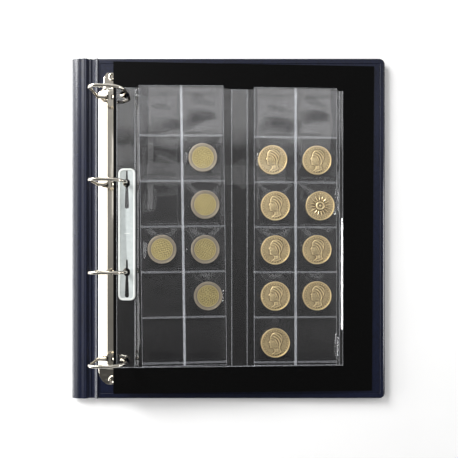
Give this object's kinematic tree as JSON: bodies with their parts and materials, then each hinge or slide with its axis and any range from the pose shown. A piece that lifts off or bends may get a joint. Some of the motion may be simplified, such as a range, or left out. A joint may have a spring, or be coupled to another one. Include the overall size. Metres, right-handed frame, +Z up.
{
  "type": "coin album page in a ring binder",
  "caption": "Open ring-binder coin album: leatherette covers, D-ring mechanism, black interleaf, clear page with pocket strips of coins and a slotted clamp bar.",
  "frame": {"origin": "On the floor under the middle of the open album's bounding box, millimetres in the source and metres here.", "axes": "+X from the spine to the covers' fore edges, +Y towards the head of the page, +Z up from the floor through the leaves."},
  "size_m": [0.2906, 0.315, 0.0414],
  "materials": {
    "leatherette": "grained navy leatherette, satin",
    "greyboard": "plain board, matte",
    "nickel": "bright nickel plate",
    "black_card": "smooth black card, matte",
    "clear_film": "clear soft film, glossy",
    "frosted_white": "milky white plastic, satin",
    "coin_silver": "struck nickel alloy, softly worn",
    "coin_gold": "struck gold-coloured alloy, softly worn"
  },
  "bodies": {
    "back_cover": {"back_cover_skin": "leatherette", "back_cover_board": "greyboard", "back_cover_lining": "leatherette", "ring_plate": "nickel", "head_rivet": "nickel", "tail_rivet": "nickel"},
    "spine_back": {"spine_back_half": "leatherette"},
    "spine_front": {"spine_front_half": "leatherette"},
    "front_cover": {"front_cover_skin": "leatherette", "front_cover_board": "greyboard", "front_cover_lining": "leatherette"},
    "left_rings": {"left_blade": "nickel", "left_ring_1": "nickel", "left_ring_2": "nickel", "left_ring_3": "nickel", "left_ring_4": "nickel"},
    "right_rings": {"right_blade": "nickel", "right_ring_1": "nickel", "right_ring_2": "nickel", "right_ring_3": "nickel", "right_ring_4": "nickel"},
    "interleaf": {"black_interleaf": "black_card"},
    "page": {"page_back_film": "clear_film", "page_front_film": "clear_film"},
    "clamp": {"clamp_bar": "frosted_white"},
    "left_strip": {"left_strip_back": "clear_film", "left_strip_pockets": "clear_film", "bimetal_rim_1": "coin_silver", "bimetal_core_1": "coin_gold", "bimetal_rim_2": "coin_silver", "bimetal_core_2": "coin_gold", "bimetal_rim_3": "coin_silver", "bimetal_core_3": "coin_gold", "bimetal_rim_4": "coin_silver", "bimetal_core_4": "coin_gold", "bimetal_rim_5": "coin_silver", "bimetal_core_5": "coin_gold"},
    "right_strip": {"right_strip_back": "clear_film", "right_strip_pockets": "clear_film", "gold_coin_1": "coin_gold", "gold_coin_2": "coin_gold", "gold_coin_3": "coin_gold", "gold_coin_4": "coin_gold", "gold_coin_5": "coin_gold", "gold_coin_6": "coin_gold", "gold_coin_7": "coin_gold", "gold_coin_8": "coin_gold", "gold_coin_9": "coin_gold"}
  },
  "joints": [
    {"name": "spine_to_back_cover", "type": "hinge", "parent": "back_cover", "child": "spine_back", "pos_m": [-0.12499, 0, 0.0063], "axis": [0, -1, 0], "range_deg": [-90.5, 0]},
    {"name": "spine_fold", "type": "hinge", "parent": "spine_back", "child": "spine_front", "pos_m": [-0.14549, 0, 0.00315], "axis": [0, -1, 0], "range_deg": [-179, 0]},
    {"name": "front_cover_to_spine", "type": "hinge", "parent": "spine_front", "child": "front_cover", "pos_m": [-0.12499, 0, 0], "axis": [0, -1, 0], "range_deg": [-90.5, 0]},
    {"name": "left_rings_open", "type": "hinge", "parent": "back_cover", "child": "left_rings", "pos_m": [-0.11834, 0, 0.00705], "axis": [0, 1, 0], "range_deg": [-6, 0]},
    {"name": "right_rings_open", "type": "hinge", "parent": "back_cover", "child": "right_rings", "pos_m": [-0.09564, 0, 0.00705], "axis": [0, -1, 0], "range_deg": [-6, 0]},
    {"name": "interleaf_turn", "type": "hinge", "parent": "back_cover", "child": "interleaf", "pos_m": [-0.10499, 0, 0.02575], "axis": [0, -1, 0], "range_deg": [0, 12]},
    {"name": "page_turn", "type": "hinge", "parent": "interleaf", "child": "page", "pos_m": [-0.10499, 0, 0.02575], "axis": [0, -1, 0], "range_deg": [0, 100]},
    {"name": "clamp_bar_turn", "type": "hinge", "parent": "page", "child": "clamp", "pos_m": [-0.10499, 0, 0.02575], "axis": [0, -1, 0], "range_deg": [0, 14]},
    {"name": "left_strip_slide", "type": "slide", "parent": "page", "child": "left_strip", "axis": [0, 1, 0], "range_m": [0, 0.25]},
    {"name": "right_strip_slide", "type": "slide", "parent": "page", "child": "right_strip", "axis": [0, 1, 0], "range_m": [0, 0.25]}
  ],
  "couplings": [
    {"joint": "right_rings_open", "follows": "left_rings_open", "ratio": 1}
  ]
}
